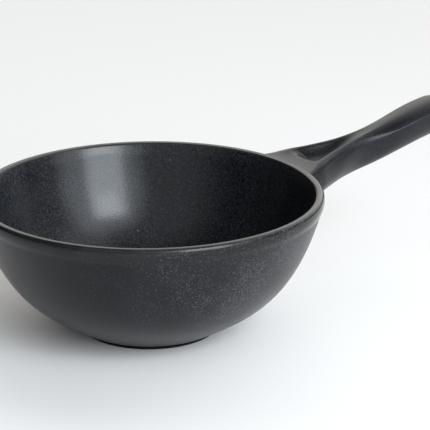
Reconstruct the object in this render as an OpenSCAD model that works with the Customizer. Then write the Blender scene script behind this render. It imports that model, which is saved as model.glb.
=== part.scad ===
// Porcelain saucepan: a round-bottomed bowl on a low foot, with a raised rim collar and a hollow handle.
// Millimetres. The bowl's axis is Z, the table is z = 0 and the handle points along +X.

/* [Bowl] */
// Outside diameter of the rim
rim_d = 200; // [160:1:250]
// Height of the lip above the table
pan_h = 81.4; // [65:0.1:105]
// Thickness of the wall, square to its surface
wall_t = 6; // [4:0.1:8]
// Thickness of the floor
floor_t = 6.5; // [4:0.1:9]
// Diameter of the edge where the wall turns under
base_d = 86; // [84:1:110]
// Angle of the wall to the table at that edge
base_angle = 32; // [20:1:40]
// How far the wall keeps that angle, as a share of its chord
base_pull = 0.3; // [0.2:0.01:0.4]
// Lean of the wall from upright under the collar
flare_angle = 16; // [8:1:24]
// How far the wall keeps that lean, as a share of its chord
flare_pull = 0.58; // [0.4:0.01:0.65]
// Diameter of the flat floor inside
floor_d = 42; // [30:1:50]

/* [Rim collar] */
// Height of the collar
collar_h = 9; // [6:0.1:14]
// How far the collar's lower edge stands proud of the wall
collar_step = 0.8; // [0.4:0.1:2]
// How far the collar's face leans out from its lower edge to the rim
collar_lean = 0.8; // [0:0.1:2]
// Radius of the rim's outer edge
rim_edge_r = 1.2; // [0.6:0.1:2]
// Radius of the lip's inner edge
lip_edge_r = 1; // [0.5:0.1:2]
// Slope of the lip down into the bowl
lip_slope = 7; // [0:1:15]

/* [Foot] */
// Height of the foot
foot_h = 3; // [1:0.1:5]
// Outside diameter of the foot
foot_d = 80; // [66:1:84]
// Width of the ring that touches the table
foot_w = 6; // [3:0.5:10]
// Bevel on the foot's edges
foot_bevel = 0.5; // [0.2:0.1:0.9]

/* [Glaze and slip] */
// Thickness of the glaze inside
glaze_t = 0.5; // [0.3:0.1:1]
// Thickness of the slip at the handle's root
slip_t = 0.6; // [0.4:0.1:1]

/* [Handle] */
// Distance from the rim to the neck, the narrowest place
neck_l = 52; // [44:1:64]
// Distance from the neck to the fullest part of the grip
grip_l = 52; // [44:1:70]
// Distance from the fullest part of the grip to the tip
tip_l = 14; // [10:1:20]
// Width between the top edges at the rim
root_w = 52; // [40:1:60]
// Width between the top edges at the neck
neck_w = 11.6; // [9:0.1:16]
// Width between the top edges at the fullest part of the grip
grip_w = 16.8; // [14:0.1:24]
// Height of the top edges above the lip at the neck
neck_rise = 9.9; // [4:0.1:16]
// Height of the top edges above the lip at the fullest part of the grip
grip_rise = 23.4; // [14:0.1:34]
// Crown of the grip's top above its edges
crown_h = 1.2; // [0.4:0.1:3]
// How far the seam stands out past the top edges at the rim
seam_out = 2; // [1:0.1:4]
// How far the seam lies below the top edges beside the scoop, over the scoop's own depth
seam_drop = 5.2; // [4:0.1:8]
// How far the grip's sloping shoulders stand out past the top edges
shoulder_out = 4.1; // [2.5:0.1:5]
// How far the grip's shoulders slope down to the seam
shoulder_drop = 3.8; // [3:0.1:6]
// Depth of the grip's underside below the seam
belly_h = 17.8; // [14:0.1:22]
// How much deeper the underside is at the rim
root_deep = 2.1; // [0:0.1:6]
// Thickness of the handle's shell
shell_t = 4.5; // [3:0.1:5]
// Diameter of the vent under the grip
vent_d = 3; // [2:0.5:4]

/* [Scoop] */
// Distance from the rim to the scoop's broad end
web_l = 6.5; // [5:0.5:10]
// Length of the scoop
scoop_l = 42; // [34:1:46]
// Depth of the scoop below the ridges
scoop_h = 5.5; // [3:0.1:7]
// Width of each ridge beside the scoop's broad end
ridge_w = 4.6; // [3:0.1:6]
// Slope of the ridges' tops, down and outwards
ridge_slope = 20; // [5:1:30]

/* [Hidden] */
$fn = 120;
black = [0.09, 0.09, 0.10];
satin = [0.07, 0.07, 0.075];
warm_black = [0.13, 0.13, 0.125];
bare_clay = [0.30, 0.29, 0.28];
curve_steps = 28;
arc_steps = 6;
rim_r = rim_d / 2;
collar_z = pan_h - collar_h;
wall_r = rim_r - collar_lean - collar_step;
inner_top_r = wall_r - wall_t / cos(flare_angle);
floor_z = foot_h + floor_t;
// The inside keeps the wall's lean up to the lip, and its curve follows the outside one wall away.
lip_r = inner_top_r + collar_h * tan(flare_angle);
inner_low_pull = 0.386;
inner_high_pull = 0.477;
// The handle starts inside the bowl, where its root is cut back to the wall.
root_in = 2;
start_in = 18;
root_x = rim_r - root_in;
start_x = rim_r - start_in;
scoop_x = rim_r + web_l;
neck_x = rim_r + neck_l;
grip_x = neck_x + grip_l;
tip_x = grip_x + tip_l;
flare_power = 1.75;
cut_above = 30;
// How steeply the top edges climb at the rim and at the grip, as shares of the climb at the neck.
rim_climb = 0.98;
grip_climb = 0.86;
// How much of the grip's length it swells over, and where its shoulders start and how long they grow.
swell_share = 0.8;
shoulder_back = 12;
shoulder_l = 34;
// The scoop's steep end and level stretch, the seam's sink below it, and the ridges' rise and taper.
scoop_wall = 8;
level_share = 0.3;
seam_under = 1.7;
seam_sink = max(scoop_h, collar_h + seam_under - seam_drop);
ridge_l = 12;
ridge_taper = 0.4;
ridge_fade = 0.8;
ridge_share = 0.6;
crown_l = 30;
// Softened corners of the handle's sections.
edge_soft = 2.4;
crest_soft = 1.6;
floor_share = 0.6;
floor_soft = 0.5;
soft_share = 0.48;
soft_steps = 4;
belly_steps = 16;
// Stations along the handle, and the angles round its tip.
root_steps = 8;
wall_steps = 5;
grip_steps = 28;
tip_angles = [18, 36, 52, 66, 78, 90];
tip_flat = 0.08;
// The hollow's ends, outline and least half width, and the place of the vent.
core_from = scoop_x + scoop_wall;
core_past_grip = 2;
core_to = grip_x + core_past_grip;
core_end = 1;
core_power = 8;
core_share = 0.85;
core_min_w = 2;
core_sides = 16;
core_steps = 16;
vent_back = 10;
vent_x = grip_x - vent_back;
// The vent's cut runs half as far again as the shell to each side of the underside's skin.
vent_cut = 3 * shell_t;

function mix(a, b, s) = a + (b - a) * s;
function clamp01(s) = max(0, min(1, s));
function smooth(s) = let(c = clamp01(s)) c * c * (3 - 2 * c);
function along(angle, length) = [cos(angle), sin(angle)] * length;
function bezier(p, t) = p[0] * pow(1 - t, 3) + p[1] * 3 * t * pow(1 - t, 2)
    + p[2] * 3 * t * t * (1 - t) + p[3] * pow(t, 3);
function bezier_slope(p, t) = (p[1] - p[0]) * 3 * pow(1 - t, 2)
    + (p[2] - p[1]) * 6 * t * (1 - t) + (p[3] - p[2]) * 3 * t * t;
function curve(p) = [for (i = [0 : curve_steps]) bezier(p, i / curve_steps)];
function offset_curve(p, d) = [for (i = [0 : curve_steps])
    let(t = i / curve_steps, s = bezier_slope(p, t)) bezier(p, t) + [-s[1], s[0]] * d / norm(s)];
function arc(centre, r, from, to) = [for (i = [0 : arc_steps])
    centre + along(mix(from, to, i / arc_steps), r)];
function reversed(list) = [for (i = [len(list) - 1 : -1 : 0]) list[i]];

// Outside of the bowl, from the base edge up to the collar.
outer_chord = norm([wall_r - base_d / 2, collar_z - foot_h]);
outer_ctrl = [[base_d / 2, foot_h], [base_d / 2, foot_h] + along(base_angle, base_pull * outer_chord),
    [wall_r, collar_z] - along(90 - flare_angle, flare_pull * outer_chord), [wall_r, collar_z]];
// Inside of the bowl's clay, from the flat floor up to the collar.
inner_chord = norm([inner_top_r - floor_d / 2, collar_z - floor_z]);
inner_ctrl = [[floor_d / 2, floor_z], [floor_d / 2 + inner_low_pull * inner_chord, floor_z],
    [inner_top_r, collar_z] - along(90 - flare_angle, inner_high_pull * inner_chord),
    [inner_top_r, collar_z]];
// Rounded corners of the collar: the rim's outer edge and the lip's inner edge.
lip_drop = (rim_r - rim_edge_r - lip_r) * tan(lip_slope);
rim_edge = arc([rim_r - rim_edge_r, pan_h - rim_edge_r], rim_edge_r, 0, 90 + lip_slope);
lip_edge = arc([lip_r + lip_edge_r, pan_h - lip_drop - lip_edge_r], lip_edge_r,
    90 + lip_slope, 180 - flare_angle);
collar_face = concat([[wall_r + collar_step, collar_z]], rim_edge);

module bowl() {
    color(black) rotate_extrude() polygon(concat([[0, foot_h]], curve(outer_ctrl),
        reversed(curve(inner_ctrl)), [[0, floor_z]]));
}

module rim_collar() {
    color(warm_black) rotate_extrude() polygon(concat([[inner_top_r, collar_z]], collar_face, lip_edge));
}

module foot_ring() {
    outside = foot_d / 2;
    inside = outside - foot_w;
    color(bare_clay) rotate_extrude() polygon([[inside, foot_h], [inside, foot_bevel],
        [inside + foot_bevel, 0], [outside - foot_bevel, 0], [outside, foot_bevel], [outside, foot_h]]);
}

// The glaze lies on the clay from the middle of the floor up to the lip's rounded inner edge.
module inner_glaze() {
    lip_low = lip_edge[arc_steps];
    skin = glaze_t * [cos(flare_angle), -sin(flare_angle)];
    color(satin) rotate_extrude() polygon(concat([[0, floor_z]], curve(inner_ctrl), [lip_low, lip_low - skin],
        reversed(offset_curve(inner_ctrl, glaze_t)), [[0, floor_z + glaze_t]]));
}

// Outside of the bowl and collar, grown outwards by a margin and carried straight up past the rim.
function outline(margin) = concat([for (p = curve(outer_ctrl)) p + [margin, 0]],
    [collar_face[0] + [margin, -margin]], [for (p = rim_edge) p + [margin, 0]],
    [[rim_r - rim_edge_r + margin, pan_h + cut_above]]);
// The bowl and collar as one solid plug, to cut the handle's root to shape.
module bowl_plug(margin) {
    rotate_extrude() polygon(concat([[0, foot_h]], outline(margin), [[0, pan_h + cut_above]]));
}

// Half the width between the top edges: flared at the root, drawn in at the neck, full at the grip.
function edge_w(x) = x < neck_x
    ? mix(neck_w, root_w, pow((neck_x - x) / (neck_x - root_x), flare_power)) / 2
    : mix(neck_w, grip_w, smooth((x - neck_x) / (grip_l * swell_share))) / 2;
// Height of the top edges: a cubic from the rim to the neck, one on to the grip, and straight on from there.
neck_pitch = (neck_rise / neck_l + grip_rise / (neck_l + grip_l)) / 2;
rim_pitch = rim_climb * neck_pitch;
grip_pitch = grip_climb * neck_pitch;
function cubic(s, l, from, to, pitch_a, pitch_b) = mix(from, to, s * s * (3 - 2 * s))
    + l * (pitch_a * s * pow(1 - s, 2) - pitch_b * s * s * (1 - s));
function rise(x) = x < neck_x
    ? cubic((x - rim_r) / neck_l, neck_l, 0, neck_rise, rim_pitch, neck_pitch)
    : x < grip_x
    ? cubic((x - neck_x) / grip_l, grip_l, neck_rise, grip_rise, neck_pitch, grip_pitch)
    : grip_rise + grip_pitch * (x - grip_x);
function edge_z(x) = pan_h + rise(x);
// Share of the scoop's depth at x: it drops in steeply at the broad end and runs out to a point.
function runout(x) = 1 - smooth(((x - scoop_x) / scoop_l - level_share) / (1 - level_share));
function scoop(x) = smooth((x - scoop_x) / scoop_wall) * runout(x);
// Share of the grip's sloping shoulders: none beside the scoop, all of it past the neck.
function shoulder(x) = smooth((x - neck_x + shoulder_back) / shoulder_l);
// Width of the ridge's top, which tapers along the scoop, and its rise from the web, which fades on the grip.
function ridge(x) = min(edge_w(x) * ridge_share,
    ridge_w * mix(1, ridge_taper, smooth((x - scoop_x) / scoop_l)));
function ridge_lift(x) = ridge(x) * tan(ridge_slope) * smooth((x - rim_r) / ridge_l)
    * (1 - ridge_fade * shoulder(x));
// Height of the middle of the top: level with the rim at the web, sunk in the scoop, crowned on the grip.
function mid_z(x) = edge_z(x) + mix(0, crown_h, smooth((x - neck_x + crown_l / 2) / crown_l))
    - scoop_h * scoop(x);
function seam_w(x) = edge_w(x) + mix(seam_out, shoulder_out, shoulder(x));
// The seam sinks below the scoop, where the top half keeps its thickness, and passes under the collar.
function seam_z(x) = edge_z(x) - mix(seam_drop, shoulder_drop, shoulder(x)) - seam_sink * runout(x);
// The underside deepens towards the root, where it braces the handle against the bowl.
function bottom_z(x) = edge_z(x) - shoulder_drop - belly_h - root_deep * pow(max(0, neck_x - x) / neck_l, 2);

// A corner of a section, softened over a length d to each side.
function corner(a, p, b, d) =
    let(u = p + (a - p) * min(soft_share, d / norm(a - p)),
        v = p + (b - p) * min(soft_share, d / norm(b - p)))
    [for (i = [0 : soft_steps]) let(t = i / soft_steps) u * pow(1 - t, 2) + p * 2 * t * (1 - t) + v * t * t];
function mirrored(list) = [for (p = reversed(list)) [-p[0], p[1]]];

// Sections across the handle at x, as [y, z] points: the top half above the seam and the half below it.
function top_section(x) =
    let(w = edge_w(x), r = ridge(x),
        seam = [seam_w(x), seam_z(x)], edge = [w, edge_z(x)],
        crest = [w - r, edge_z(x) + ridge_lift(x)], mid = [(w - r) * floor_share, mid_z(x)],
        half = concat([seam], corner(seam, edge, crest, edge_soft), corner(edge, crest, mid, crest_soft),
            corner(crest, mid, [-mid[0], mid[1]], floor_soft * (w - r))))
    concat(half, mirrored(half));
function under_section(x) = [for (i = [0 : belly_steps]) let(a = 180 * i / belly_steps)
    [-seam_w(x) * cos(a), mix(seam_z(x), bottom_z(x), sin(a))]];
function root_section(x) = let(under = under_section(x))
    concat(top_section(x), [for (i = [1 : belly_steps - 1]) under[i]]);

// Stations along the handle: even steps to the grip, closer ones at the scoop's broad end, a round tip.
function stations() = concat([for (i = [0 : root_steps - 1]) mix(start_x, scoop_x, i / root_steps)],
    [for (i = [0 : wall_steps - 1]) mix(scoop_x, scoop_x + scoop_wall, i / wall_steps)],
    [for (i = [0 : grip_steps]) mix(scoop_x + scoop_wall, grip_x, i / grip_steps)],
    [for (a = tip_angles) mix(grip_x, tip_x, sin(a))]);
function tip_scale(x) = x <= grip_x ? 1
    : max(tip_flat, sqrt(max(0, 1 - pow((x - grip_x) / (tip_x - grip_x), 2))));
// Every section shrinks towards its own middle as it nears the tip.
function placed(x, section) = let(k = tip_scale(x), c = [0, (edge_z(x) + bottom_z(x)) / 2])
    [for (p = section) let(q = c + (p - c) * k) [x, q[0], q[1]]];

// A closed solid through rings of points, each ring anticlockwise as seen from the tip.
module loft(rings) {
    n = len(rings[0]);
    last = len(rings) - 1;
    sides = [for (i = [0 : last - 1], j = [0 : n - 1]) let(a = i * n + j, b = i * n + (j + 1) % n)
        each [[a, a + n, b + n], [a, b + n, b]]];
    polyhedron(points = [for (ring = rings) each ring],
        faces = concat([[for (j = [0 : n - 1]) j]], sides, [[for (j = [n - 1 : -1 : 0]) last * n + j]]));
}

module top_blank() { loft([for (x = stations()) placed(x, top_section(x))]); }
module under_blank() { loft([for (x = stations()) placed(x, under_section(x))]); }

// The hollow: an oval core, one shell inside the handle, with rounded ends.
function core_ring(x) =
    let(s = 2 * (x - core_from) / (core_to - core_from) - 1, k = sqrt(max(0, 1 - pow(abs(s), core_power))),
        low = bottom_z(x) + shell_t, high = mid_z(x) - shell_t,
        w = max(core_min_w, seam_w(x) * core_share - shell_t), h = max(core_min_w, (high - low) / 2))
    [for (i = [0 : core_sides - 1]) let(a = 360 * i / core_sides)
        [x, k * w * cos(a), (low + high) / 2 + k * h * sin(a)]];
module core() {
    loft([for (i = [0 : core_steps])
        core_ring(mix(core_from + core_end, core_to - core_end, i / core_steps))]);
}

module handle_top() {
    color(black) difference() {
        top_blank();
        bowl_plug(slip_t);
        core();
    }
}

module handle_underside() {
    color(black) difference() {
        under_blank();
        bowl_plug(slip_t);
        core();
        translate([vent_x, 0, bottom_z(vent_x)]) cylinder(d = vent_d, h = vent_cut, center = true);
    }
}

module handle_slip() {
    color(warm_black) intersection() {
        loft([for (i = [0 : root_steps]) let(x = mix(start_x, scoop_x, i / root_steps))
            placed(x, root_section(x))]);
        rotate_extrude() polygon(concat(outline(slip_t), reversed(outline(0))));
    }
}

bowl();
rim_collar();
foot_ring();
handle_top();
handle_underside();
handle_slip();
inner_glaze();
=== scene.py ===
"""Looks of a black porcelain saucepan: turned bowl, rim collar, foot, hollow handle and its glazes.

Sizes of the pan and the floor are in millimetres, the pan's main ones as in the CAD part; a mesh is turned into
metres when it is made. Places of the lamps and the camera are in metres. The bowl's axis is Z, the table is
z = 0 and the handle points along +X.
"""

import logging
import math
from dataclasses import dataclass, field
from enum import Enum

import bpy
import numpy as np
from mathutils import Euler, Matrix


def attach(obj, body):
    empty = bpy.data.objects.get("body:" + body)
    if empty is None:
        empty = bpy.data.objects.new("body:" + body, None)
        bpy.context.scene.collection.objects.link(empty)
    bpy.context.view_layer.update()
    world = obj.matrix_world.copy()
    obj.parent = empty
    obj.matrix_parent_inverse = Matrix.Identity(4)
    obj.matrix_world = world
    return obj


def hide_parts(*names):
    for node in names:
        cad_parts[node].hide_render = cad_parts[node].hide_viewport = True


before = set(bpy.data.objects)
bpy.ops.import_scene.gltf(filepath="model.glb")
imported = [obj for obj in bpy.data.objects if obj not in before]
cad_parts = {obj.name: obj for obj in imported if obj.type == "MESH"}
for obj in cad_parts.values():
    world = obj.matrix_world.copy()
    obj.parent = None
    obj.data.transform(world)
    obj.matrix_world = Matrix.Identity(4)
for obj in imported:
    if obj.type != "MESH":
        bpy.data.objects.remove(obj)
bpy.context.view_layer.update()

Array = np.ndarray
Pair = tuple[float, float]
Triple = tuple[float, float, float]
Socket = bpy.types.NodeSocket
MM = 0.001
ON_AXIS = 1e-6
SHARP_ANGLE = 50.0
BODY = "root"
COOL, PALE = (0.87, 0.94, 1.0), (0.94, 0.97, 1.0)
WHITE, WARM = (0.97, 0.98, 1.0), (1.0, 0.99, 0.96)
log = logging.getLogger("saucepan")


class Slot(Enum):
    """The pan's material slots."""

    OUTER = "outer_glaze"
    RIM = "rim_glaze"
    CLAY = "bare_clay"
    INNER = "inner_glaze"


class Half(Enum):
    """The two halves of the hollow handle, above and below its seam."""

    TOP = "handle_top"
    UNDERSIDE = "handle_underside"


# ---------------- curves


def mix(a: Array | float, b: Array | float, s: Array | float) -> Array | float:
    """Straight blend from a to b."""
    return a + (b - a) * s


def smooth(s: Array | float) -> Array:
    """Step from 0 to 1 with level ends: 3 s squared less 2 s cubed, with s held in 0 to 1."""
    c = np.clip(s, 0.0, 1.0)
    return c * c * (3.0 - 2.0 * c)


def ramp(x: Array | float, start: float, length: float) -> Array:
    """Smooth step that begins at a place and is complete one length further on."""
    return smooth((x - start) / length)


def bell(s: Array | float) -> Array:
    """Gaussian bump: e to the power of minus s squared."""
    return np.exp(-np.square(s))


def hinge(s: Array, soft: Array | float) -> Array:
    """Zero before a corner and s after it, joined by a parabola over a length soft to each side."""
    return np.where(np.abs(s) < soft, np.square(s + soft) / (4.0 * soft), np.maximum(s, 0.0))


def chord(r: Array | float, y: Array) -> Array:
    """Half a circle's chord at a distance y from its centre: the root of r squared less y squared."""
    return np.sqrt(np.square(r) - np.square(y))


def along(angle: float, length: float) -> Array:
    """Vector in the r, z plane at an angle in degrees."""
    return length * np.array([math.cos(math.radians(angle)), math.sin(math.radians(angle))])


def pulled(low: Pair, high: Pair, first: Pair, last: Pair) -> Array:
    """Control points of a cubic curve between two points of the r, z plane.

    Args:
        low: where the curve starts.
        high: where it ends.
        first: its angle at the start, in degrees, and its pull as a share of the straight distance.
        last: the same at the end.

    Returns:
        The four control points.
    """
    a, b = np.array(low), np.array(high)
    length = np.linalg.norm(b - a)
    return np.stack([a, a + along(first[0], first[1] * length), b - along(last[0], last[1] * length), b])


def bezier(ctrl: Array, t: Array) -> Array:
    """Cubic curve at places t from 0 to 1: four control points weighted by the Bernstein polynomials."""
    s = 1.0 - t
    return np.stack([s**3, 3 * t * s**2, 3 * t**2 * s, t**3], -1) @ ctrl


def left_normals(line: Array) -> Array:
    """Unit normals to the left of a line: its direction, from central differences, turned a quarter."""
    d = np.gradient(line, axis=0)
    return np.stack([-d[:, 1], d[:, 0]], -1) / np.linalg.norm(d, axis=1, keepdims=True)


def arc(centre: Pair, radius: float, start: float, end: float, steps: int) -> Array:
    """Points of a circle's arc in the r, z plane, from one angle to another in degrees."""
    a = np.radians(np.linspace(start, end, steps))
    return np.array(centre) + radius * np.stack([np.cos(a), np.sin(a)], -1)


def straight(a: Pair, b: Pair, steps: int) -> Array:
    """Evenly spaced points from a to b."""
    return mix(np.array(a, float), np.array(b, float), np.linspace(0, 1, steps)[:, None])


# ---------------- surfaces


@dataclass
class Skin:
    """A surface: points in millimetres, four- and three-sided faces, and values at its points."""

    points: Array
    quads: Array
    tris: Array
    values: dict[str, Array] = field(default_factory=dict)

    def mesh(self, name: str) -> bpy.types.Mesh:
        """Puts the surface into a Blender mesh, in metres, smooth but for its sharp corners.

        Args:
            name: name of the mesh.

        Returns:
            The new mesh.
        """
        mesh = bpy.data.meshes.new(name)
        corners = np.concatenate([self.quads.ravel(), self.tris.ravel()]).astype(np.int32)
        starts = np.concatenate([np.arange(len(self.quads)) * 4,
                                 self.quads.size + np.arange(len(self.tris)) * 3]).astype(np.int32)
        mesh.vertices.add(len(self.points))
        mesh.vertices.foreach_set("co", (self.points * MM).astype(np.float32).ravel())
        mesh.loops.add(len(corners))
        mesh.loops.foreach_set("vertex_index", corners)
        mesh.polygons.add(len(starts))
        mesh.polygons.foreach_set("loop_start", starts)
        mesh.polygons.foreach_set("use_smooth", np.ones(len(starts), bool))
        mesh.update(calc_edges=True)
        for key, value in self.values.items():
            layer = mesh.attributes.new(key, "FLOAT", "POINT")
            layer.data.foreach_set("value", value.astype(np.float32).ravel())
        mesh.validate()
        mesh.set_sharp_from_angle(angle=math.radians(SHARP_ANGLE))
        return mesh


def ring_angles(segments: int) -> Array:
    """Evenly spaced angles once round, in radians."""
    return np.linspace(0, 2 * np.pi, segments, endpoint=False)


def ring_faces(rows: int, columns: int, close_rows: bool) -> Array:
    """Four-sided faces of a grid whose columns close into rings.

    Args:
        rows: number of rings.
        columns: points in each ring.
        close_rows: whether the last ring joins the first.

    Returns:
        Point numbers, four to a face, turning from the ring's direction to the rows' direction.
    """
    i, j = np.meshgrid(np.arange(rows if close_rows else rows - 1), np.arange(columns), indexing="ij")
    k, n = (i + 1) % rows, (j + 1) % columns
    return np.stack([i * columns + j, i * columns + n, k * columns + n, k * columns + j], -1).reshape(-1, 4)


def fan_faces(centre: int, first: int, columns: int, inwards: bool) -> Array:
    """Three-sided faces that close a ring onto one point.

    Args:
        centre: number of the point in the middle.
        first: number of the ring's first point.
        columns: points in the ring.
        inwards: whether the ring is the first of its surface, so that the faces turn the other way.

    Returns:
        Point numbers, three to a face.
    """
    j = np.arange(columns)
    a, b = first + j, first + (j + 1) % columns
    return np.stack([np.full(columns, centre)] + ([b, a] if inwards else [a, b]), -1)


def carried(grid: Array, ends: Array, wear: Array) -> Skin:
    """A closed section carried along a path: rings of points, and one point that closes each end.

    Args:
        grid: rings by points by 3, each ring anticlockwise as seen from the path's far end.
        ends: the first and the last closing point, which aren't rubbed.
        wear: how much each point is rubbed, rings by points.

    Returns:
        The closed surface.
    """
    rows, columns, _ = grid.shape
    points = np.concatenate([grid.reshape(-1, 3), ends])
    low, high = rows * columns, rows * columns + 1
    tris = np.concatenate([fan_faces(low, 0, columns, True),
                           fan_faces(high, (rows - 1) * columns, columns, False)])
    return Skin(points, ring_faces(rows, columns, False), tris,
                {"wear": np.concatenate([wear.ravel(), [0.0, 0.0]])})


def turned(profile: Array, segments: int, wear: Array | None = None) -> Skin:
    """A profile turned on the lathe: each point (r, z) becomes the ring (r cos a, r sin a, z).

    A profile that starts and ends on the axis is closed there by one point each; any other is a loop.

    Args:
        profile: points (r, z), with the solid on their left.
        segments: number of steps round the axis.
        wear: how much each point of the profile is rubbed, from 0 to 1.

    Returns:
        The closed surface.
    """
    worn = np.zeros(len(profile)) if wear is None else wear
    poles = profile[0, 0] < ON_AXIS
    rings = slice(1, -1) if poles else slice(None)
    a, r, z = ring_angles(segments), profile[rings, :1], profile[rings, 1:]
    grid = np.stack([r * np.cos(a), r * np.sin(a), np.repeat(z, segments, 1)], -1)
    value = np.repeat(worn[rings], segments)
    if poles:
        return carried(grid, np.array([[0, 0, profile[0, 1]], [0, 0, profile[-1, 1]]]), value)
    quads = ring_faces(len(grid), segments, True)
    return Skin(grid.reshape(-1, 3), quads, np.empty((0, 3), int), {"wear": value})


def linked(name: str, data: bpy.types.ID) -> bpy.types.Object:
    """Makes an object and puts it into the scene.

    Args:
        name: name of the object.
        data: its mesh, light or camera.

    Returns:
        The new object.
    """
    made = bpy.data.objects.new(name, data)
    bpy.context.scene.collection.objects.link(made)
    return made


# ---------------- finishes


class NodeSheet:
    """Short words for placing and joining shader nodes in one tree."""

    def __init__(self, tree: bpy.types.NodeTree) -> None:
        """Keeps the tree that the nodes go into."""
        self.tree = tree

    def add(self, kind: str, values: dict[str | int, object] | None = None, **settings: object) -> bpy.types.Node:
        """Places a node.

        Args:
            kind: Blender's name of the node type.
            values: values or sockets for the node's inputs, by name or number.
            **settings: properties of the node.

        Returns:
            The new node.
        """
        node = self.tree.nodes.new(kind)
        for key, value in settings.items():
            setattr(node, key, value)
        for key, value in (values or {}).items():
            if isinstance(value, Socket):
                self.tree.links.new(value, node.inputs[key])
            else:
                node.inputs[key].default_value = value
        return node

    def math(self, operation: str, a: object, b: object) -> Socket:
        """Result of one sum on two values or sockets."""
        return self.add("ShaderNodeMath", {0: a, 1: b}, operation=operation).outputs[0]

    def times(self, a: object, b: object) -> Socket:
        """Product of two values or sockets."""
        return self.math("MULTIPLY", a, b)

    def dot(self, a: object, b: object) -> Socket:
        """Dot product of two vectors or sockets."""
        return self.add("ShaderNodeVectorMath", {0: a, 1: b}, operation="DOT_PRODUCT").outputs["Value"]

    def noise(self, place: Socket, scale: object, detail: float) -> Socket:
        """Value of a noise texture at a place."""
        return self.add("ShaderNodeTexNoise", {"Vector": place, "Scale": scale, "Detail": detail}).outputs[0]

    def span(self, value: object, low: object, high: object, to_low: float = 0.0, to_high: float = 1.0) -> Socket:
        """Smooth step of a value between two bounds.

        Args:
            value: the socket to map.
            low: where the step starts.
            high: where it ends.
            to_low: result before the step.
            to_high: result after it.

        Returns:
            The mapped value's socket.
        """
        return self.add("ShaderNodeMapRange", {"Value": value, "From Min": low, "From Max": high,
                                               "To Min": to_low, "To Max": to_high},
                        interpolation_type="SMOOTHSTEP").outputs[0]

    def blend(self, share: object, a: object, b: object) -> Socket:
        """Colour between a and b by a share."""
        return self.add("ShaderNodeMix", {0: share, 6: a, 7: b}, data_type="RGBA").outputs[2]


def cleared(block: bpy.types.Material | bpy.types.World) -> NodeSheet:
    """Empties the node tree of a new material or world.

    Args:
        block: the material or world.

    Returns:
        A sheet for its nodes.
    """
    block.use_nodes = True
    block.node_tree.nodes.clear()
    return NodeSheet(block.node_tree)


class Effect(NodeSheet):
    """A shader group that the glazes share: it makes one value of a place and some of a glaze's numbers."""

    def __init__(self, name: str, *numbers: str) -> None:
        """Makes the group and its sockets.

        Args:
            name: name of the value that it puts out.
            *numbers: the fields of a glaze that it reads.
        """
        super().__init__(bpy.data.node_groups.new(f"glaze {name}", "ShaderNodeTree"))
        self.numbers = numbers
        sockets = self.tree.interface
        sockets.new_socket("place", in_out="INPUT", socket_type="NodeSocketVector")
        for number in numbers:
            sockets.new_socket(number, in_out="INPUT", socket_type="NodeSocketFloat")
        sockets.new_socket(name, in_out="OUTPUT", socket_type="NodeSocketFloat")
        self.read = [socket for socket in self.add("NodeGroupInput").outputs if socket.name]
        self.out = self.add("NodeGroupOutput")

    def puts(self, value: Socket) -> "Effect":
        """Joins a value to the group's output, which completes the group."""
        self.tree.links.new(value, self.out.inputs[0])
        return self


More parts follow.
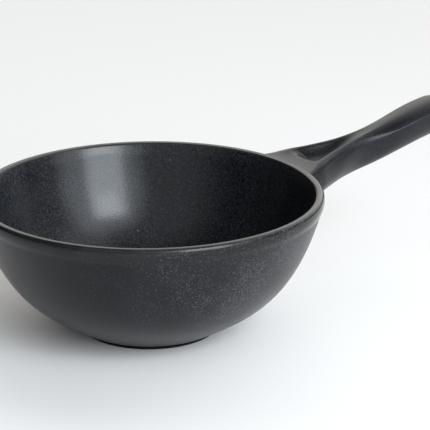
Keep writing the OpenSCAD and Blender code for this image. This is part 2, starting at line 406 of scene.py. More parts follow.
class Effects:
    """The shader groups that the glazes share, each built once.

    A span lists where a smooth step starts and ends and, where they aren't 0 and 1, its two results.
    """

    MOTTLE_SPAN = (0.32, 0.68)
    CLUSTER_SCALE, CLUSTER_SPAN = 28.0, (0.38, 0.62, 0.6, 1.2)
    # painted light: the granules are kept on a band of the pan's right side, toward the key light, and thin to both
    # sides of it
    KEY_LIT_WAY = (0.84, -0.54, 0.0)
    THIN_BEFORE, THIN_AFTER = (-0.035, 0.045, 0.9, 0.0), (0.080, 0.105, 0.0, 0.75)
    GRANULE_CUT, CUT_DROP, CUT_SOFT = 0.68, 0.16, 0.2
    SPECK_SPREAD, SPECK_LEAST, SPECK_CORE = 0.6, 0.4, 0.4
    PATCH_SPAN = (0.3, 0.7, 0.35, 1.0)

    def __init__(self) -> None:
        """Builds the five groups."""
        self.mottle = self._mottle()
        self.granules = self._granules()
        self.specks = self._specks()
        self.grain = self._grain()
        self.rubbed = self._rubbed()

    def _mottle(self) -> Effect:
        """Cloudy unevenness of a glaze: broad noise plus a share of fine noise.

        Returns:
            The group, whose value runs from 0 to 1.
        """
        group = Effect("mottle", "broad", "fine", "fine_share")
        place, broad, fine, share = group.read
        both = group.add("ShaderNodeMix", {0: share, 2: group.noise(place, broad, 2.0),
                                           3: group.noise(place, fine, 2.0)})
        return group.puts(group.span(both.outputs[0], *self.MOTTLE_SPAN))

    def _granules(self) -> Effect:
        """Fine pale granules: the tops of a fine noise, cut off lower where the granules lie closer.

        They lie in clusters and, as painted light, are kept densest on a band of the side toward the key light,
        thinning out away from it on both sides, handle included.

        Returns:
            The group, whose value is 1 in the middle of a granule and 0 between them.
        """
        group = Effect("granules", "fleck_scale", "fleck_kept", "lit_side_thinning")
        place, scale, kept, lit_side_thinning = group.read
        # painted light: fewer granules away from the key-lit band
        key_side = group.dot(place, self.KEY_LIT_WAY)
        dim_side_thin = group.math("MAXIMUM", group.span(key_side, *self.THIN_BEFORE), group.span(key_side, *self.THIN_AFTER))
        kept = group.times(kept, group.span(group.noise(place, self.CLUSTER_SCALE, 2.0), *self.CLUSTER_SPAN))
        kept = group.times(kept, group.math("SUBTRACT", 1.0, group.times(lit_side_thinning, dim_side_thin)))
        low = group.math("SUBTRACT", self.GRANULE_CUT, group.times(kept, self.CUT_DROP))
        high = group.math("ADD", low, self.CUT_SOFT)
        return group.puts(group.span(group.noise(place, scale, 1.0), low, high))

    def _specks(self) -> Effect:
        """Single pale specks: discs round the points of a cell pattern, few of them kept, by the cell's own number.

        Returns:
            The group, whose value is 1 in a speck and 0 between them.
        """
        group = Effect("specks", "speck_scale", "speck_size", "speck_kept")
        place, scale, size, share = group.read
        cells = group.add("ShaderNodeTexVoronoi", {"Vector": place, "Scale": scale}, feature="F1")
        own = group.add("ShaderNodeSeparateColor", {0: cells.outputs["Color"]})
        kept = group.math("LESS_THAN", own.outputs[0], share)
        spread = group.math("ADD", group.times(own.outputs[1], self.SPECK_SPREAD), self.SPECK_LEAST)
        reach = group.times(size, spread)
        disc = group.span(cells.outputs["Distance"], group.times(reach, self.SPECK_CORE), reach, 1.0, 0.0)
        return group.puts(group.times(disc, kept))

    def _grain(self) -> Effect:
        """Height of the glaze's skin: long ripples of the dipping under a fine pebbled grain.

        Returns:
            The group, whose value feeds a bump.
        """
        group = Effect("height", "pebble", "ripple", "ripple_share")
        place, pebble, ripple, share = group.read
        waves = group.times(group.noise(place, ripple, 1.0), share)
        return group.puts(group.math("ADD", group.noise(place, pebble, 3.0), waves))

    def _rubbed(self) -> Effect:
        """Rubbed edges: the piece's wear value, broken up by noise so that the glaze thins in patches.

        Returns:
            The group, whose value runs from 0 to 1.
        """
        group = Effect("rubbed", "patch", "rub")
        place, patch, rub = group.read
        wear = group.add("ShaderNodeAttribute", attribute_name="wear", attribute_type="GEOMETRY").outputs["Fac"]
        share = group.times(wear, group.span(group.noise(place, patch, 4.0), *self.PATCH_SPAN))
        return group.puts(group.times(share, rub))


@dataclass(frozen=True)
class Glaze:
    """A fired surface: colours, gloss, and how its mottle, granules, specks, grain and rubbed edges look."""

    slot: Slot
    deep: Triple
    pale: Triple
    fleck: Triple
    rubbed: Triple
    gloss: Pair
    broad: float
    fine: float
    fine_share: float
    fleck_scale: float
    # share by which the granules thin away from the key-lit band: painted light
    lit_side_thinning: float
    fleck_kept: float
    fleck_strength: float
    speck_kept: float
    pebble: float
    ripple: float
    ripple_share: float
    bump: float
    rub: float
    specular: float
    patch: float = 180.0
    speck_scale: float = 260.0
    speck_size: float = 0.12
    speck: Triple = (0.32, 0.32, 0.31)
    ior: float = 1.5

    def material(self, effects: Effects) -> bpy.types.Material:
        """Builds the material: deep to pale by the mottle, then granules, rubbed edges and specks.

        Args:
            effects: the shared shader groups.

        Returns:
            The material, named after its slot.
        """
        made = bpy.data.materials.new(self.slot.value)
        sheet = cleared(made)
        place = sheet.add("ShaderNodeTexCoord").outputs["Object"]

        def put(group: Effect) -> Socket:
            """Output of a shared group that reads the piece's own coordinates and this glaze's numbers."""
            numbers = {number: getattr(self, number) for number in group.numbers}
            return sheet.add("ShaderNodeGroup", {"place": place, **numbers}, node_tree=group.tree).outputs[0]

        mottle = put(effects.mottle)
        flecks = sheet.times(put(effects.granules), self.fleck_strength)
        colour: object = (*self.deep, 1)
        for share, tint in ((mottle, self.pale), (flecks, self.fleck),
                            (put(effects.rubbed), self.rubbed), (put(effects.specks), self.speck)):
            colour = sheet.blend(share, colour, (*tint, 1))
        gloss = sheet.span(mottle, 0.0, 1.0, *self.gloss)
        bump = sheet.add("ShaderNodeBump", {"Strength": 1.0, "Distance": self.bump * MM,
                                            "Height": put(effects.grain)})
        shader = sheet.add("ShaderNodeBsdfPrincipled", {
            "Base Color": colour, "Roughness": gloss, "Normal": bump.outputs[0],
            "IOR": self.ior, "Specular IOR Level": self.specular})
        sheet.add("ShaderNodeOutputMaterial", {0: shader.outputs[0]})
        return made


GLAZES = (
    Glaze(Slot.OUTER, deep=(0.0020, 0.0023, 0.0034), pale=(0.0105, 0.0113, 0.0145), fleck=(0.074, 0.079, 0.093),
          rubbed=(0.05, 0.05, 0.048), gloss=(0.28, 0.36), broad=45, fine=900, fine_share=0.6,
          fleck_scale=1150, lit_side_thinning=1.0, fleck_kept=1.18, fleck_strength=0.75, speck_kept=0.012,
          pebble=1300, ripple=55, ripple_share=1.2, bump=0.03, rub=0.4, specular=0.31),
    Glaze(Slot.RIM, deep=(0.0060, 0.0063, 0.0074), pale=(0.0120, 0.0125, 0.0145), fleck=(0.105, 0.109, 0.120),
          rubbed=(0.05, 0.049, 0.045), gloss=(0.10, 0.16), broad=50, fine=900, fine_share=0.6,
          fleck_scale=900, lit_side_thinning=0.9, fleck_kept=0.9, fleck_strength=0.5, speck_kept=0.008,
          pebble=1300, ripple=55, ripple_share=1.0, bump=0.02, rub=0.5, specular=0.32),
    Glaze(Slot.CLAY, deep=(0.0035, 0.0034, 0.0033), pale=(0.0070, 0.0068, 0.0065), fleck=(0.03, 0.03, 0.029),
          rubbed=(0.03, 0.029, 0.027), gloss=(0.72, 0.9), broad=120, fine=900, fine_share=0.7,
          fleck_scale=700, lit_side_thinning=0.0, fleck_kept=0.6, fleck_strength=0.6, speck_kept=0.0,
          pebble=1300, ripple=120, ripple_share=0.4, bump=0.10, rub=0.5, specular=0.08),
    Glaze(Slot.INNER, deep=(0.0030, 0.0034, 0.0044), pale=(0.0170, 0.0180, 0.0210), fleck=(0.055, 0.060, 0.070),
          rubbed=(0.05, 0.05, 0.048), gloss=(0.15, 0.20), broad=40, fine=800, fine_share=0.8,
          fleck_scale=1000, lit_side_thinning=0.0, fleck_kept=1.1, fleck_strength=0.45, speck_kept=0.004,
          pebble=800, ripple=45, ripple_share=0.8, bump=0.03, rub=0.3, specular=0.37),
)


@dataclass(frozen=True)
class Workshop:
    """Turns a surface into a finished piece: mesh, finish, body and the CAD node that it stands for."""

    finishes: dict[Slot, bpy.types.Material]

    def piece(self, node: str, slot: Slot, skin: Skin) -> None:
        """Makes the piece that stands for a CAD node.

        Args:
            node: name of the CAD node, after which the piece is named.
            slot: its finish.
            skin: its surface.
        """
        name = f"{node}_glazed" if slot is not Slot.CLAY else f"{node}_fired"
        made = linked(name, skin.mesh(name))
        made.data.materials.append(self.finishes[slot])
        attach(made, BODY)
        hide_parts(node)
        log.info("%s: %d faces, stands for %s", name, len(made.data.polygons), node)


# ---------------- bowl


@dataclass(frozen=True)
class Bowl:
    """The turned bowl, its foot ring and the glaze inside."""

    wall_r: float = 98.4
    collar_z: float = 72.4
    base_r: float = 43.0
    base_angle: float = 32.0
    base_pull: float = 0.30
    base_soft: float = 1.8
    under_clear: float = 1.1
    wall_clear: float = 1.3
    base_rub: float = 0.6
    base_rub_w: float = 1.6
    base_rub_z: float = 6.0
    flare: float = 16.0
    flare_pull: float = 0.58
    inner_top_r: float = 92.158
    floor_r: float = 21.0
    floor_z: float = 9.5
    low_pull: float = 0.386
    high_pull: float = 0.477
    clay_back: float = 0.05
    foot_h: float = 3.0
    foot_r: float = 40.0
    foot_w: float = 6.0
    foot_edge: float = 0.8
    foot_let: float = 0.3
    foot_rub_h: float = 0.6
    glaze_t: float = 0.5
    glaze_fade: float = 6.0
    glaze_bed: float = 0.02
    segments: int = 384

    def outer_ctrl(self) -> Array:
        """Control points of the wall's outside, from the base edge up to the collar."""
        return pulled((self.base_r, self.foot_h), (self.wall_r, self.collar_z),
                      (self.base_angle, self.base_pull), (90 - self.flare, self.flare_pull))

    def inner_ctrl(self) -> Array:
        """Control points of the clay's inside, from the flat floor up to the collar."""
        return pulled((self.floor_r, self.floor_z), (self.inner_top_r, self.collar_z),
                      (0.0, self.low_pull), (90 - self.flare, self.high_pull))

    def profile(self) -> tuple[Array, Array]:
        """Outline of the bowl, from the axis below, up the outside and down the inside to the axis.

        The corner where the flat underside meets the wall is a hinge: level until the corner, then
        along the wall, with a parabola between. The inside lies a hair behind the glaze.

        Returns:
            The points (r, z) and how much each is rubbed.
        """
        wall, soft = bezier(self.outer_ctrl(), np.linspace(0, 1, 110)), self.base_soft
        s = np.linspace(-soft, soft, 14)
        level, climb = along(0.0, 1.0), along(self.base_angle, 1.0)
        corner = wall[0] + s[:, None] * level + hinge(s, soft)[:, None] * (climb - level)
        wall = wall[np.linalg.norm(wall - wall[0], axis=1) > soft * self.wall_clear]
        under = straight((0.0, self.foot_h), (self.base_r - soft * self.under_clear, self.foot_h), 12)
        inside = bezier(self.inner_ctrl(), np.linspace(1, 0, 40))
        inside = inside - self.clay_back * left_normals(inside)
        floor_z = self.floor_z - self.clay_back
        floor = straight((self.floor_r, floor_z), (0.0, floor_z), 6)[1:]
        line = np.concatenate([under, corner, wall, inside, floor])
        r, z = line.T
        return line, self.base_rub * bell((r - self.base_r) / self.base_rub_w) * (z < self.base_rub_z)

    def foot(self) -> tuple[Array, Array]:
        """Outline of the foot ring: a low band with rounded edges, let a little into the bowl.

        Returns:
            The points (r, z) and how much each is rubbed.
        """
        near, far, e, top = self.foot_r - self.foot_w, self.foot_r, self.foot_edge, self.foot_h + self.foot_let
        line = np.concatenate([
            straight((near, top), (near, e), 4)[:-1], arc((near + e, e), e, 180, 270, 8),
            straight((near + e, 0), (far - e, 0), 8)[1:-1], arc((far - e, e), e, 270, 360, 8),
            straight((far, e), (far, top), 4)[1:], straight((far, top), (near, top), 6)[1:-1]])
        return line, np.clip(1.0 - line[:, 1] / self.foot_rub_h, 0, 1)

    def lining(self, upper: Array) -> Array:
        """Outline of the inner glaze: the clay's inside and the same curve one glaze further in.

        The glaze thins to nothing over the last few millimetres below the lip.

        Args:
            upper: inside of the collar, from the bowl's top to the lip's inner edge.

        Returns:
            The points (r, z), out along the clay and back along the glaze.
        """
        rise = np.concatenate([straight((0.0, self.floor_z), (self.floor_r, self.floor_z), 14)[:-1],
                               bezier(self.inner_ctrl(), np.linspace(0, 1, 84)), upper[1:]])
        thick = self.glaze_t * smooth((upper[-1, 1] - rise[:, 1]) / self.glaze_fade)
        back, front = rise[::3].copy(), rise + thick[:, None] * left_normals(rise)
        back[:, 1] -= self.glaze_bed
        back[0, 0] = front[0, 0] = 0.0
        return np.concatenate([back, front[-2::-1]])

    def build(self, shop: Workshop, upper: Array) -> None:
        """Builds and dresses the bowl, the foot ring and the inner glaze.

        Args:
            shop: makes the pieces.
            upper: inside of the collar, up to the lip's inner edge.
        """
        line, rub = self.profile()
        shop.piece("bowl", Slot.OUTER, turned(line, self.segments, rub))
        line, rub = self.foot()
        shop.piece("foot_ring", Slot.CLAY, turned(line, self.segments, rub))
        shop.piece("inner_glaze", Slot.INNER, turned(self.lining(upper), self.segments))


@dataclass(frozen=True)
class RimCollar:
    """The raised collar with its swelling face and the lip that slopes into the bowl."""

    bowl: Bowl
    rim_r: float = 99.96
    pan_h: float = 81.4
    lip_r: float = 94.6
    lip_slope: float = 7.0
    rim_edge: float = 2.2
    shoulder_share: float = 1.05
    lip_edge: float = 1.8
    roll_lean: float = 30.0
    roll_low: float = 5.6
    roll_high: float = 1.4
    swell_z: float = 77.8
    swell: float = 0.055
    crease_r: float = 98.2
    crease_h: float = 0.85
    let_in: float = 0.15
    face_blend: float = 0.9
    rub_drop: float = 2.2
    rub_fade: float = 1.2
    even_rub: float = 0.35
    edge_rub: float = 0.5
    outer_rub: Pair = (0.5, 0.5)
    inner_rub: Pair = (0.7, 0.6)

    def lip_top_r(self) -> float:
        """Radius at which the lip is highest."""
        return self.rim_r - self.rim_edge

    def lip_z(self, r: Array) -> Array:
        """Height of the lip's cone at a radius."""
        return self.pan_h - (self.lip_top_r() - r) * math.tan(math.radians(self.lip_slope))

    def face_r(self, z: Array) -> Array:
        """Radius of the collar's face: the rim's radius less a parabola about its widest height."""
        return self.rim_r - self.swell * np.square(z - self.swell_z)

    def inner_rounding(self) -> Array:
        """Rounded inner edge of the lip: an arc from the lip's cone round to the soft roll under it.

        Returns:
            The points (r, z), inwards and down.
        """
        r = self.lip_r + self.lip_edge
        z = float(self.lip_z(r)) - self.lip_edge / math.cos(math.radians(self.lip_slope))
        return arc((r, z), self.lip_edge, 90 + self.lip_slope, 180 - self.roll_lean, 10)

    def inner_wall(self) -> Array:
        """Inside of the collar, upwards: a cubic curve on from the bowl's wall that rolls over to the lip's edge.

        Returns:
            The points (r, z), from the bowl's top to the lip's inner edge.
        """
        low, top = np.array([self.bowl.inner_top_r, self.bowl.collar_z]), self.inner_rounding()[-1]
        ctrl = np.stack([low, low + along(90 - self.bowl.flare, self.roll_low),
                         top - along(90 - self.roll_lean, self.roll_high), top])
        return bezier(ctrl, np.linspace(0, 1, 24))

    def profile(self) -> tuple[Array, Array]:
        """Outline of the collar: under it outwards, up its face, over the lip and down inside.

        Returns:
            The points (r, z) and how much each is rubbed.
        """
        a = np.linspace(0, np.pi / 2, 10)
        low_z = self.bowl.collar_z - self.let_in
        foot_z = low_z + self.crease_h
        foot_r = float(self.face_r(foot_z))
        crease = np.stack([mix(self.crease_r, foot_r, np.sin(a)), foot_z - self.crease_h * np.cos(a)], -1)
        shoulder_z = self.pan_h - self.rim_edge * self.shoulder_share
        z = np.linspace(foot_z, shoulder_z, 26)[1:]
        face = np.stack([self.face_r(z), z], -1)
        b = np.linspace(0, np.radians(90 + self.lip_slope), 14)[1:]
        shoulder = np.stack([mix(self.lip_top_r(), float(self.face_r(shoulder_z)), np.cos(b)),
                             mix(shoulder_z, self.pan_h, np.sin(b))], -1)
        inner = self.inner_rounding()
        lip = straight(tuple(shoulder[-1]), tuple(inner[0]), 12)[1:-1]
        wall = self.inner_wall()[-2::-1]
        under = straight((self.bowl.inner_top_r, self.bowl.collar_z), (self.crease_r, low_z), 6)[1:-1]
        line = np.concatenate([crease, face, shoulder, lip, inner, wall, under])
        on_top = ramp(line[:, 1], self.pan_h - self.rub_drop, self.rub_fade)
        edges = sum(bell((line[:, 0] - edge - shift) / width) for edge, (shift, width) in (
            (self.lip_top_r(), self.outer_rub), (self.lip_r, self.inner_rub)))
        return line, np.clip(on_top * (self.even_rub + self.edge_rub * edges), 0, 1)

    def outside(self, z: Array) -> Array:
        """Radius of the pan's outside at a height: the bowl's wall and, above it, the collar's face.

        Args:
            z: heights.

        Returns:
            One radius for each height.
        """
        wall = bezier(self.bowl.outer_ctrl(), np.linspace(0, 1, 200))
        under = np.interp(z, wall[:, 1], wall[:, 0])
        face = self.face_r(np.minimum(z, self.pan_h))
        return mix(under, face, ramp(z, self.bowl.collar_z, self.face_blend))

    def build(self, shop: Workshop) -> None:
        """Builds and dresses the collar."""
        line, rub = self.profile()
        shop.piece("rim_collar", Slot.RIM, turned(line, self.bowl.segments, rub))


# ---------------- handle


@dataclass(frozen=True)
class Handle:
    """The hollow handle: a top half with web, ridges and scoop, a round underside, and its slip fillet."""

    collar: RimCollar
    neck_l: float = 52.0
    grip_l: float = 52.0
    tip_l: float = 14.0
    tip_angle: float = 88.5
    root_w: float = 52.0
    neck_w: float = 11.6
    grip_w: float = 16.8
    swell_l: float = 41.5
    flare_power: float = 1.75
    neck_rise: float = 9.9
    grip_rise: float = 23.4
    rim_climb: float = 0.98
    grip_climb: float = 0.86
    flush_l: float = 8.0
    crown_h: float = 1.1
    crown_lead: float = 15.0
    crown_l: float = 30.0
    seam_out: float = 2.0
    seam_drop: float = 5.2
    shoulder_out: float = 4.1
    shoulder_drop: float = 3.8
    shoulder_lead: float = 12.0
    shoulder_l: float = 34.0
    depth: float = 21.6
    root_deep: float = 2.1
    web_l: float = 6.5
    scoop_l: float = 42.0
    scoop_h: float = 5.5
    scoop_wall: float = 8.0
    level_share: float = 0.3
    ridge_w: float = 4.6
    ridge_end: float = 0.4
    ridge_most: float = 0.6
    ridge_slope: float = 20.0
    ridge_l: float = 12.0
    edge_soft: Pair = (2.6, 4.2)
    edge_most: Pair = (0.9, 1.1)
    crest_soft: Pair = (2.0, 4.0)
    crest_most: float = 0.7
    scoop_most: float = 0.5
    seam_soft: Pair = (7.0, 0.9)
    seam_reach: float = 6.0
    edge_rub: Pair = (0.3, 1.6)
    crest_rub: Pair = (0.8, 1.2)
    rub_l: float = 8.0
    root_x: float = 98.0
    start_x: float = 98.5
    bury: float = 2.6
    cap_back: float = 0.2
    bend_l: float = 12.0
    web_x: float = 104.0
    web_fade: float = 14.0
    web_lift: float = 0.03
    lip_sink: float = 0.2
    lip_x: float = 96.6
    lip_fade: float = 1.6
    vent_x: float = 194.0
    vent_r: float = 1.5
    vent_deep: float = 5.0
    vent_edge: float = 0.35
    vent_soft: float = 0.5
    vent_below: float = 0.6
    vent_span: float = 2.5
    scoop_span: Pair = (106.0, 117.0)
    counts: tuple[int, ...] = (24, 34, 62, 56, 40)
    across: int = 96
    fillet: float = 2.0
    slip_gap: float = 0.1
    slip_side: int = 28
    slip_fade: float = 16.0
    slip_below: float = 0.6
    slip_skin: float = 0.05
    slip_deep: float = 0.8

    @property
    def rim_r(self) -> float:
        """Radius of the rim, from which the handle's lengths are measured."""
        return self.collar.rim_r

    @property
    def scoop_x(self) -> float:
        """Where the scoop's broad end starts."""
        return self.rim_r + self.web_l

    @property
    def neck_x(self) -> float:
        """The narrowest place."""
        return self.rim_r + self.neck_l

    @property
    def grip_x(self) -> float:
        """The fullest part of the grip."""
        return self.neck_x + self.grip_l

    def stations(self) -> Array:
        """Places along the handle: close at the web, the scoop's end and the vent, by angle round the tip.

        Returns:
            The places, from the root to the tip.
        """
        stops = [self.start_x, *self.scoop_span, self.neck_x, self.vent_x - self.vent_span,
                 self.vent_x + self.vent_span]
        runs = [np.linspace(*stops[n:n + 2], count, endpoint=False) for n, count in enumerate(self.counts)]
        tip = self.grip_x + self.tip_l * np.sin(np.radians(np.linspace(0, self.tip_angle, 34)[1:]))
        return np.concatenate([*runs, np.linspace(stops[-1], self.grip_x, 12), tip])

    def edge_w(self, x: Array) -> Array:
        """Half the width between the top edges: a power of the distance to the neck, then a smooth swell.

        Args:
            x: places along the handle.

        Returns:
            The edges' y.
        """
        back = np.clip((self.neck_x - x) / (self.neck_x - self.root_x), 0, None)
        root = mix(self.neck_w, self.root_w, back**self.flare_power)
        grip = mix(self.neck_w, self.grip_w, ramp(x, self.neck_x, self.swell_l))
        return np.where(x < self.neck_x, root, grip) / 2

    def rise(self, x: Array) -> Array:
        """Climb of the top edges above the lip: two cubics with shared slopes, then a straight line.

        Args:
            x: places along the handle.

        Returns:
            The heights above the rim.
        """
        pitch = (self.neck_rise / self.neck_l + self.grip_rise / (self.neck_l + self.grip_l)) / 2
        last = self.grip_climb * pitch

        def cubic(s: Array, length: float, heights: Pair, slopes: Pair) -> Array:
            """Cubic between two heights with given slopes at its ends."""
            return (mix(*heights, s * s * (3 - 2 * s))
                    + length * (slopes[0] * s * (1 - s) ** 2 - slopes[1] * s * s * (1 - s)))

        near = cubic((x - self.rim_r) / self.neck_l, self.neck_l, (0, self.neck_rise),
                     (self.rim_climb * pitch, pitch))
        far = cubic((x - self.neck_x) / self.grip_l, self.grip_l, (self.neck_rise, self.grip_rise), (pitch, last))
        line = self.grip_rise + last * (x - self.grip_x)
        return np.where(x < self.neck_x, near, np.where(x < self.grip_x, far, line))

    def edge_z(self, x: Array) -> Array:
        """Height of the top edges: on from the lip's own slope at the rim, then by the climb."""
        share = ramp(x, self.collar.lip_top_r(), self.flush_l)
        return mix(self.collar.lip_z(x), self.collar.pan_h + self.rise(x), share)

    def shoulder(self, x: Array) -> Array:
        """Share of the grip's sloping shoulders: none beside the scoop, all of it past the neck."""
        return ramp(x, self.neck_x - self.shoulder_lead, self.shoulder_l)

    def runout(self, x: Array) -> Array:
        """Share of the scoop's depth that is left as it runs out to its point."""
        return 1 - smooth(((x - self.scoop_x) / self.scoop_l - self.level_share) / (1 - self.level_share))

    def seam(self, x: Array) -> tuple[Array, Array]:
        """Half width and height of the seam between the two halves.

        Args:
            x: places along the handle.

        Returns:
            The seam's y and z.
        """
        k = self.shoulder(x)
        drop = mix(self.seam_drop, self.shoulder_drop, k) + self.scoop_h * self.runout(x)
        return self.edge_w(x) + mix(self.seam_out, self.shoulder_out, k), self.edge_z(x) - drop

    def bottom_z(self, x: Array) -> Array:
        """Height of the underside's lowest line, which deepens by a square law towards the bowl."""
        back = np.clip(self.neck_x - x, 0, None) / self.neck_l
        return self.edge_z(x) - self.depth - self.root_deep * np.square(back)

    def middle_z(self, x: Array) -> Array:
        """Height half way between the top edges and the underside's lowest line."""
        return (self.edge_z(x) + self.bottom_z(x)) / 2

    def top_half(self, x: Array) -> tuple[Array, Array, Array]:
        """Half section of the top: seam, top edge, ridge crest, scoop and middle, with softened corners.

        The section is a line of straight runs. Each corner adds the change of direction times a hinge
        of the length run past it, which rounds it with a parabola. The first run starts upright, so that
        the underside runs on without a break.

        Args:
            x: places along the handle, as a column.

        Returns:
            y, z and the rubbing of each point, from the seam to the middle.
        """
        w, z, k = self.edge_w(x), self.edge_z(x), self.shoulder(x)
        ridge = self.ridge_w * mix(1.0, self.ridge_end, ramp(x, self.scoop_x, self.scoop_l))
        ridge = np.minimum(ridge, w * self.ridge_most)
        lift = ridge * math.tan(math.radians(self.ridge_slope)) * ramp(x, self.rim_r, self.ridge_l) * (1 - k)
        crest = w - mix(ridge, w / 2, k)
        sunk = self.scoop_h * ramp(x, self.scoop_x, self.scoop_wall) * self.runout(x)
        crown = self.crown_h * ramp(x, self.neck_x - self.crown_lead, self.crown_l)

        def inside(f: float) -> Array:
            """Point of the top at a share of the crest's distance: a round crown and a round scoop."""
            y = crest * f
            return np.stack([y, z + crown * (1 - np.square(y / w)) + (lift + sunk) * f**2 - sunk], -1)

        keys = np.stack([np.stack(self.seam(x), -1), np.stack([w, z], -1),
                         *map(inside, (1.0, 0.66, 0.33, 0.0))])
        runs = np.diff(keys, axis=0)
        length = np.linalg.norm(runs, axis=-1)
        way, place = runs / length[..., None], np.cumsum(length, axis=0)
        t = np.linspace(0, 1, self.across)[None, :] * place[-1]
        point = keys[0] + way[0] * t[..., None]
        share, lean = self.edge_most
        soft = [np.minimum(mix(*self.edge_soft, k), share * np.minimum(length[0], lean * length[1])),
                np.minimum(mix(*self.crest_soft, k), self.crest_most * np.minimum(length[1], length[2])),
                self.scoop_most * np.minimum(length[2], length[3]),
                self.scoop_most * np.minimum(length[3], length[4])]
        for n, e in enumerate(soft):
            point = point + (way[n + 1] - way[n]) * hinge(t - place[n], e)[..., None]
        upright = np.array([0.0, 1.0]) - way[0]
        turn = mix(*self.seam_soft, k)
        near = np.minimum(t, turn)
        point = point + upright * ((near - np.square(near) / (2 * turn)) * bell(t / self.seam_reach))[..., None]
        rub = np.maximum(*(strength * bell((t - place[n]) / width)
                           for n, (strength, width) in enumerate((self.edge_rub, self.crest_rub))))
        return point[..., 0], point[..., 1], rub * ramp(x, self.scoop_x, self.rub_l) * (1 - k)

    def section(self, half: Half, x: Array) -> tuple[Array, Array, Array]:
        """Section of one half across the handle, anticlockwise as seen from the tip.

        Args:
            half: which half.
            x: places along the handle, as a column.

        Returns:
            y, z and the rubbing of each point, before the tip is rounded.
        """
        if half is Half.TOP:
            mirrored = zip(self.top_half(x), (-1, 1, 1))
            return tuple(np.concatenate([v, sign * v[:, -2::-1]], 1) for v, sign in mirrored)
        a = np.linspace(0, np.pi, 2 * self.across + 1)[None, :]
        seam_y, seam_z = self.seam(x)
        y, z = -seam_y * np.cos(a), mix(seam_z, self.bottom_z(x), np.sin(a))
        return y, z, np.zeros_like(y)

    def placed(self, x: Array, y: Array, z: Array) -> Array:
        """Rounds the tip and bends the root onto the pan.

        At the tip a section shrinks towards its middle as a circle's chord does. At the root a point
        moves along x until its first section lies just inside the pan's outside, and its height follows
        the distance from the pan's axis, so that the web runs on from the lip.

        Args:
            x: places along the handle, as a column.
            y: sideways places.
            z: heights.

        Returns:
            The points, rings by columns by 3.
        """
        tip = chord(1.0, np.clip((x - self.grip_x) / self.tip_l, 0, 1))
        y, z = y * tip, mix(self.middle_z(x), z, tip)
        wall = chord(self.collar.outside(z) - self.bury, y)
        out = x + (wall - self.start_x) * (1 - ramp(x, self.start_x, self.bend_l))
        reach = np.hypot(out, y)
        near = 1 - ramp(x, self.web_x, self.web_fade)
        sink = self.lip_sink * (1 - ramp(reach, self.lip_x, self.lip_fade))
        z = z + near * (self.edge_z(reach) - self.edge_z(x) + self.web_lift - sink)
        return np.stack([out, y, z], -1)

    def vented(self, grid: Array) -> Array:
        """Presses the vent into the underside: a steep round step, deep inside its radius.

        Args:
            grid: points of the underside.

        Returns:
            The points with the vent.
        """
        r = np.hypot(grid[..., 0] - self.vent_x, grid[..., 1])
        step = 1 - ramp(r, self.vent_r - self.vent_edge, self.vent_soft)
        low = grid[..., 2] < self.edge_z(grid[..., 0]) - self.vent_below * self.depth
        return grid + np.stack([0 * r, 0 * r, self.vent_deep * step * low], -1)

    def half(self, half: Half) -> Skin:
        """Surface of one half, closed inside the bowl's wall, across the seam and at the tip.

        Args:
            half: which half.

        Returns:
            The closed surface.
        """
        x = self.stations()[:, None]
        y, z, rub = self.section(half, x)
        grid = self.placed(x, y, z)
        if half is Half.UNDERSIDE:
            grid = self.vented(grid)
        tip_x, root_z = self.grip_x + self.tip_l, grid[0, :, 2].mean()
        root_x = float(self.collar.outside(root_z)) - self.bury - self.cap_back
        ends = np.array([[root_x, 0, root_z], [tip_x, 0, float(self.middle_z(tip_x))]])
        return carried(grid, ends, rub)

    def wall_r(self, z: Array) -> Array:
        """Radius of the pan's outside at a height, or just below the rim for a greater height."""
        return self.collar.outside(np.minimum(z, self.collar.pan_h - self.slip_below))

    def slip(self) -> Skin:
        """Surface of the slip fillet: a hollow corner carried round the root's sides and underside.

        For each point round the root, the fillet starts on the pan's wall one fillet outside the
        handle's skin, and ends on the handle one fillet out from the wall. A quadratic curve that leans
        into the corner joins the two, and the fillet fades out below the web's top edges.

        Returns:
            The closed surface.
        """
        step = self.start_x + self.bury + self.slip_gap + np.array([[0.0], [self.fillet]])
        halves = zip(self.section(Half.TOP, step), self.section(Half.UNDERSIDE, step))
        n = self.slip_side
        y, z, _ = (np.concatenate([a[:, n - 1::-1], b[:, -2:0:-1], a[:, :-n - 1:-1]], 1) for a, b in halves)
        root, out = self.placed(np.repeat(step, y.shape[1], 1), y, z)
        root[:, 2] += self.edge_z(self.wall_r(root[:, 2])) - self.edge_z(np.hypot(root[:, 0], root[:, 1]))
        away = left_normals(root[:, 1:])
        away = away * np.sign((away * (root[:, 1:] - root[:, 1:].mean(0))).sum(1, keepdims=True))
        count = np.arange(len(root))
        fade = smooth(np.minimum(count, count[::-1]) / self.slip_fade)[:, None]
        foot_yz = root[:, 1:] + away * self.fillet * fade
        foot_x = chord(self.wall_r(foot_yz[:, 1]), foot_yz[:, 0]) - self.slip_skin
        foot = np.concatenate([foot_x[:, None], foot_yz], 1)
        heel = root.copy()
        heel[:, 0] = chord(self.wall_r(root[:, 2]), root[:, 1])
        head = mix(heel, out, fade)
        head[:, 1:] -= away * self.slip_skin
        t = np.linspace(0, 1, 10)[:, None, None]
        curve = (1 - t) ** 2 * foot + 2 * t * (1 - t) * heel + t**2 * head
        inner = heel - self.slip_deep * np.insert(away, 0, 1.0, axis=1)
        grid = np.concatenate([curve, inner[None]]).transpose(1, 0, 2)
        return carried(grid, grid[[0, -1]].mean(1), np.zeros(grid.shape[:2]))

    def build(self, shop: Workshop) -> None:
        """Builds and dresses the two halves and the slip.

        Args:
            shop: makes the pieces.
        """
        for half in Half:
            shop.piece(half.value, Slot.OUTER, self.half(half))
        shop.piece("handle_slip", Slot.RIM, self.slip())


# ---------------- studio


def look(place: Triple, aim: Triple) -> Triple:
    """Euler angles in radians that point an object's -Z axis from a place to an aim, kept upright."""
    d = np.array(aim, float) - np.array(place, float)
    return (math.atan2(math.hypot(d[0], d[1]), -d[2]), 0.0, math.atan2(-d[0], d[1]))


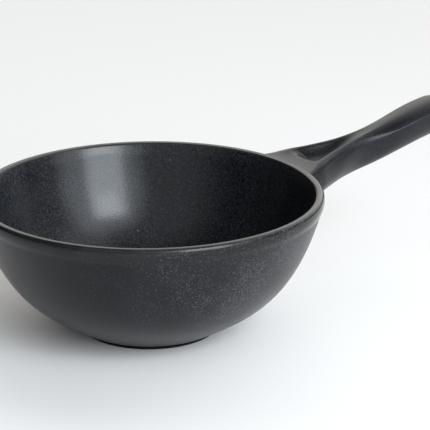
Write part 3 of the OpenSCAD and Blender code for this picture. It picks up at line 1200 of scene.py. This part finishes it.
@dataclass(frozen=True)
class Lamp:
    """A softbox: where it stands, its size and brightness, its aim and its turn about its own axis."""

    name: str
    place: Triple
    width: float
    height: float
    watts: float
    colour: Triple = COOL
    aim: Triple = (0.0, 0.0, 0.05)
    turn: float = -8.0

    def build(self) -> None:
        """Makes the softbox, which the camera itself doesn't see."""
        data = bpy.data.lights.new(self.name, "AREA")
        data.shape, data.size, data.size_y = "RECTANGLE", self.width, self.height
        data.energy, data.color = self.watts, self.colour
        lamp = linked(self.name, data)
        lamp.location = self.place
        upright = Euler(look(self.place, self.aim)).to_matrix()
        lamp.rotation_euler = (upright @ Matrix.Rotation(math.radians(self.turn), 3, "Z")).to_euler()
        lamp.visible_camera = False


@dataclass(frozen=True)
class Panel:
    """A soft bright area of the room: where it is, as the camera sees it, how wide and how bright."""

    azimuth: float
    elevation: float
    full: float
    edge: float
    level: float
    colour: Triple
    ahead: float = 33.0

    def way(self) -> Triple:
        """Direction of the middle; azimuth 0 is straight ahead of the camera and 90 is to its right."""
        a, e = math.radians(self.ahead + self.azimuth), math.radians(self.elevation)
        return (math.sin(a) * math.cos(e), math.cos(a) * math.cos(e), math.sin(e))

    def added(self, sheet: NodeSheet, way: Socket, light: object) -> Socket:
        """Adds the panel to the room's light: full within one angle of its middle, gone at another.

        Args:
            sheet: the world's nodes.
            way: the direction looked in.
            light: the light so far.

        Returns:
            The light with this panel.
        """
        low, high = math.cos(math.radians(self.edge)), math.cos(math.radians(self.full))
        share = sheet.span(sheet.dot(way, self.way()), low, high, 0.0, self.level)
        part = sheet.add("ShaderNodeVectorMath", {0: self.colour, 3: share}, operation="SCALE").outputs[0]
        return sheet.add("ShaderNodeVectorMath", {0: light, 1: part}, operation="ADD").outputs[0]


@dataclass(frozen=True)
class Studio:
    """Camera, floor, softboxes and the surrounding light."""

    camera_place: Triple = (-0.5289, -0.8832, 0.4189)
    camera_turn: Triple = (71.10, 0.0, -33.0)
    lens: float = 159.07
    sensor: float = 36.0
    clip: Pair = (0.01, 50.0)
    floor_r: float = 5000.0
    floor_gap: float = 0.05
    floor_rings: int = 23
    floor_segments: int = 96
    paper_dark: Triple = (0.91, 0.895, 0.88)
    paper_light: Triple = (0.94, 0.925, 0.91)
    paper_grain: float = 400.0
    # painted shade: grey painted into the floor's colour on the left, along a way and over a span of distances
    corner: Triple = (0.35, 0.35, 0.35)
    painted_shade_way: Triple = (-0.95, 0.31, 0.0)
    painted_shade_span: Pair = (0.22, 0.8)
    room: Triple = (0.03, 0.03, 0.03)
    lamps: tuple[Lamp, ...] = (
        Lamp("key_softbox", (0.13, -1.45, 0.72), 0.8, 1.15, 15.5),
        Lamp("key_hot_spot", (0.17, -1.34, 1.02), 0.5, 0.42, 2.2),
    )
    panels: tuple[Panel, ...] = (
        Panel(0.0, 4.0, 10.0, 26.0, 0.65, WARM),
        Panel(25.0, 40.0, 20.0, 42.0, 1.6, WARM),
        Panel(138.0, 24.0, 20.0, 38.0, 2.3, COOL),
        Panel(175.0, 32.0, 20.0, 64.0, 0.60, PALE),
        Panel(90.0, 20.0, 20.0, 50.0, 0.30, WHITE),
        Panel(-22.0, 32.0, 7.0, 18.0, 1.5, WARM),
        Panel(95.0, 50.0, 8.0, 24.0, 0.8, PALE),
    )

    def build(self) -> None:
        """Sets up everything that isn't part of the pan."""
        self.camera()
        self.floor()
        for lamp in self.lamps:
            lamp.build()
        self.surroundings()
        bpy.context.scene.view_settings.view_transform = "Standard"

    def camera(self) -> None:
        """Makes the camera at the photograph's viewing angle."""
        data = bpy.data.cameras.new("photo_camera")
        data.lens, data.sensor_width = self.lens, self.sensor
        data.clip_start, data.clip_end = self.clip
        made = linked("photo_camera", data)
        made.location = self.camera_place
        made.rotation_euler = tuple(math.radians(a) for a in self.camera_turn)
        bpy.context.scene.camera = made

    def floor(self) -> None:
        """Makes the pale floor: a disc of rings, grown by a square law so that it is fine near the pan."""
        r = self.floor_r * np.square(np.linspace(0, 1, self.floor_rings + 1))[1:, None]
        a = ring_angles(self.floor_segments)
        rings = np.stack([r * np.cos(a), r * np.sin(a), 0 * r * a - self.floor_gap], -1)
        points = np.concatenate([rings.reshape(-1, 3), [[0, 0, -self.floor_gap]]])
        quads = ring_faces(self.floor_rings, self.floor_segments, False)[:, ::-1]
        skin = Skin(points, quads, fan_faces(len(points) - 1, 0, self.floor_segments, False))
        floor = linked("studio_floor", skin.mesh("studio_floor"))
        floor.data.materials.append(self.floor_paper())

    def floor_paper(self) -> bpy.types.Material:
        """White paper with painted shade: its colour falls off to a darker grey towards a corner of the studio on
        the left.

        Returns:
            The floor's material.
        """
        paper = bpy.data.materials.new("floor_paper")
        sheet = cleared(paper)
        place = sheet.add("ShaderNodeTexCoord").outputs["Object"]
        grain = sheet.noise(place, self.paper_grain, 3.0)
        tone = sheet.blend(grain, (*self.paper_dark, 1), (*self.paper_light, 1))
        # painted shade: the paper's colour darkens towards the left
        painted_shade_share = sheet.span(sheet.dot(place, self.painted_shade_way), *self.painted_shade_span)
        tone = sheet.blend(painted_shade_share, tone, (*self.corner, 1))
        matt = sheet.add("ShaderNodeBsdfDiffuse", {"Color": tone})
        sheet.add("ShaderNodeOutputMaterial", {0: matt.outputs[0]})
        return paper

    def surroundings(self) -> None:
        """Light from all round: a dim room with the soft panels in it."""
        world = bpy.data.worlds.new("studio")
        bpy.context.scene.world = world
        sheet = cleared(world)
        way = sheet.add("ShaderNodeTexCoord").outputs["Generated"]
        light: object = self.room
        for panel in self.panels:
            light = panel.added(sheet, way, light)
        back = sheet.add("ShaderNodeBackground", {"Color": light, "Strength": 1.0})
        sheet.add("ShaderNodeOutputWorld", {0: back.outputs[0]})


def main() -> None:
    """Builds the studio and the pan's pieces in order."""
    logging.basicConfig(level=logging.INFO, format="%(name)s: %(message)s")
    Studio().build()
    effects = Effects()
    shop = Workshop({glaze.slot: glaze.material(effects) for glaze in GLAZES})
    bowl = Bowl()
    collar = RimCollar(bowl)
    bowl.build(shop, collar.inner_wall())
    collar.build(shop)
    Handle(collar).build(shop)


if __name__ == "__main__":
    main()
